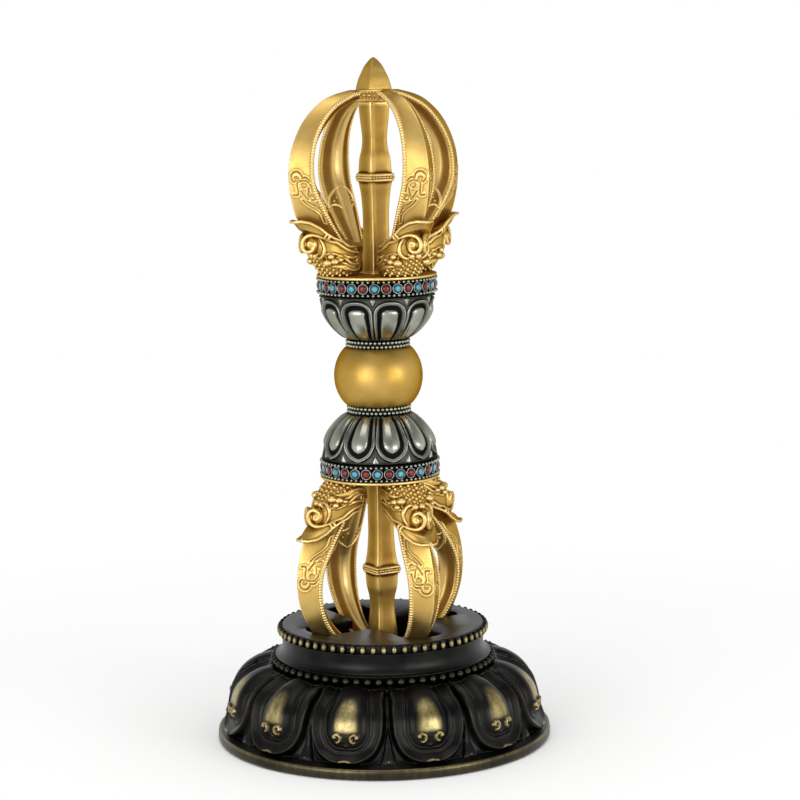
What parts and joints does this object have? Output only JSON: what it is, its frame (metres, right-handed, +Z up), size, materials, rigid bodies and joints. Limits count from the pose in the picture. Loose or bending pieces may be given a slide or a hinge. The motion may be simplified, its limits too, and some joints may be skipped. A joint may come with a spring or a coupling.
{
  "type": "vajra on lotus stand",
  "caption": "Pronged ritual vajra of gilt and silvered metal with stone-set bands, standing upright in a slotted lotus stand it lifts out of.",
  "frame": {"origin": "centre of the stand's foot, on the surface that it stands on", "axes": "+Z up along the vajra's axis; the outer prongs lie along +X, +Y, -X and -Y"},
  "size_m": [0.107, 0.107, 0.2165],
  "materials": {
    "patinated_bronze": "black patinated bronze, rubbed to antique gold on the high spots",
    "gilt": "satin gold plate over cast brass",
    "antique_silver": "oxidised silver plate over cast brass, dark in the recesses",
    "stones": "polished turquoise and coral cabochons in silver bezels",
    "steel": "plain threaded rod, hidden"
  },
  "bodies": {
    "stand": {"lotus_base": "patinated_bronze", "neck_drum": "patinated_bronze", "top_plate": "patinated_bronze"},
    "vajra": {"centre_ball": "gilt", "tie_rod": "steel", "upper_waist_collar": "antique_silver", "upper_lotus_bowl": "antique_silver", "upper_jewel_band": "antique_silver", "upper_stone_row": "stones", "upper_seat_disc": "gilt", "upper_centre_prong": "gilt", "upper_crown_collar": "gilt", "upper_finial": "gilt", "upper_makara_east": "gilt", "upper_makara_north": "gilt", "upper_makara_west": "gilt", "upper_makara_south": "gilt", "upper_prong_east": "gilt", "upper_prong_north": "gilt", "upper_prong_west": "gilt", "upper_prong_south": "gilt", "lower_waist_collar": "antique_silver", "lower_lotus_bowl": "antique_silver", "lower_jewel_band": "antique_silver", "lower_stone_row": "stones", "lower_seat_disc": "gilt", "lower_centre_prong": "gilt", "lower_crown_collar": "gilt", "lower_finial": "gilt", "lower_makara_east": "gilt", "lower_makara_north": "gilt", "lower_makara_west": "gilt", "lower_makara_south": "gilt", "lower_prong_east": "gilt", "lower_prong_north": "gilt", "lower_prong_west": "gilt", "lower_prong_south": "gilt"}
  },
  "joints": [
    {"name": "vajra_lift", "type": "slide", "parent": "stand", "child": "vajra", "axis": [0, 0, 1], "range_m": [0, 0.03]}
  ]
}
